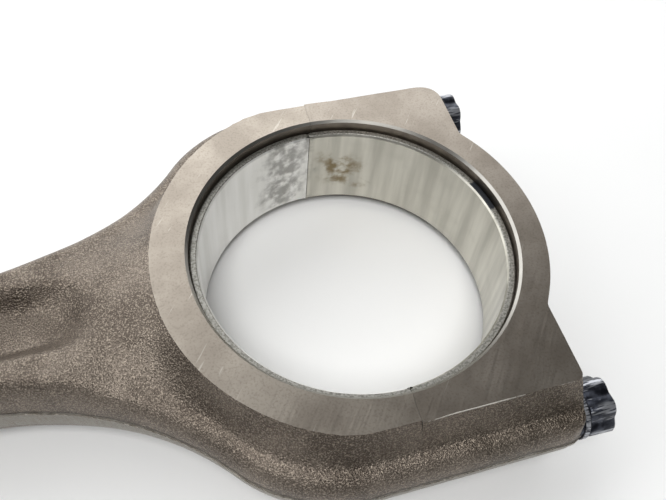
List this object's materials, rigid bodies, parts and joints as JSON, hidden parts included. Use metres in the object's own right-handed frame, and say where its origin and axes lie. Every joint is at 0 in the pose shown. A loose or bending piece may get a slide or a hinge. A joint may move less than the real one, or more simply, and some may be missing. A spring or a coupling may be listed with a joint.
{
  "type": "connecting rod",
  "caption": "Forged connecting rod with a fracture-split big-end cap, bearing shells, star-headed cap bolts and a bushed small end, lying on its side.",
  "frame": {"origin": "the middle of the part's box, on the surface it lies on", "axes": "+X from the small end to the cap, +Y across the bolts, +Z along both bores"},
  "size_m": [0.1932, 0.0744, 0.0216],
  "materials": {
    "forged_steel": "shot-blasted forged skin, brown-grey, with ground side faces",
    "cap_steel": "shot-blasted forged skin, ground side faces",
    "shell_steel": "rolled steel strip, dull",
    "bearing_alloy": "fine-bored soft alloy, satin",
    "blackened_steel": "black oxide, worn bright on edges",
    "bronze": "bored bronze"
  },
  "bodies": {
    "rod": {"rod_forging": "forged_steel", "small_end_bush": "bronze"},
    "cap": {"big_end_cap": "cap_steel"},
    "bolt_left": {"cap_bolt_left": "blackened_steel"},
    "bolt_right": {"cap_bolt_right": "blackened_steel"},
    "rod_shell": {"rod_shell_back": "shell_steel", "rod_shell_lining": "bearing_alloy"},
    "cap_shell": {"cap_shell_back": "shell_steel", "cap_shell_lining": "bearing_alloy"}
  },
  "joints": [
    {"name": "cap_pull", "type": "slide", "parent": "rod", "child": "cap", "axis": [1, 0, 0], "range_m": [0, 0.06]},
    {"name": "bolt_left_out", "type": "slide", "parent": "cap", "child": "bolt_left", "axis": [1, 0, 0], "range_m": [0, 0.05]},
    {"name": "bolt_right_out", "type": "slide", "parent": "cap", "child": "bolt_right", "axis": [1, 0, 0], "range_m": [0, 0.05]},
    {"name": "rod_shell_out", "type": "slide", "parent": "rod", "child": "rod_shell", "axis": [0, 0, 1], "range_m": [0, 0.024]},
    {"name": "cap_shell_out", "type": "slide", "parent": "cap", "child": "cap_shell", "axis": [0, 0, 1], "range_m": [0, 0.024]}
  ]
}
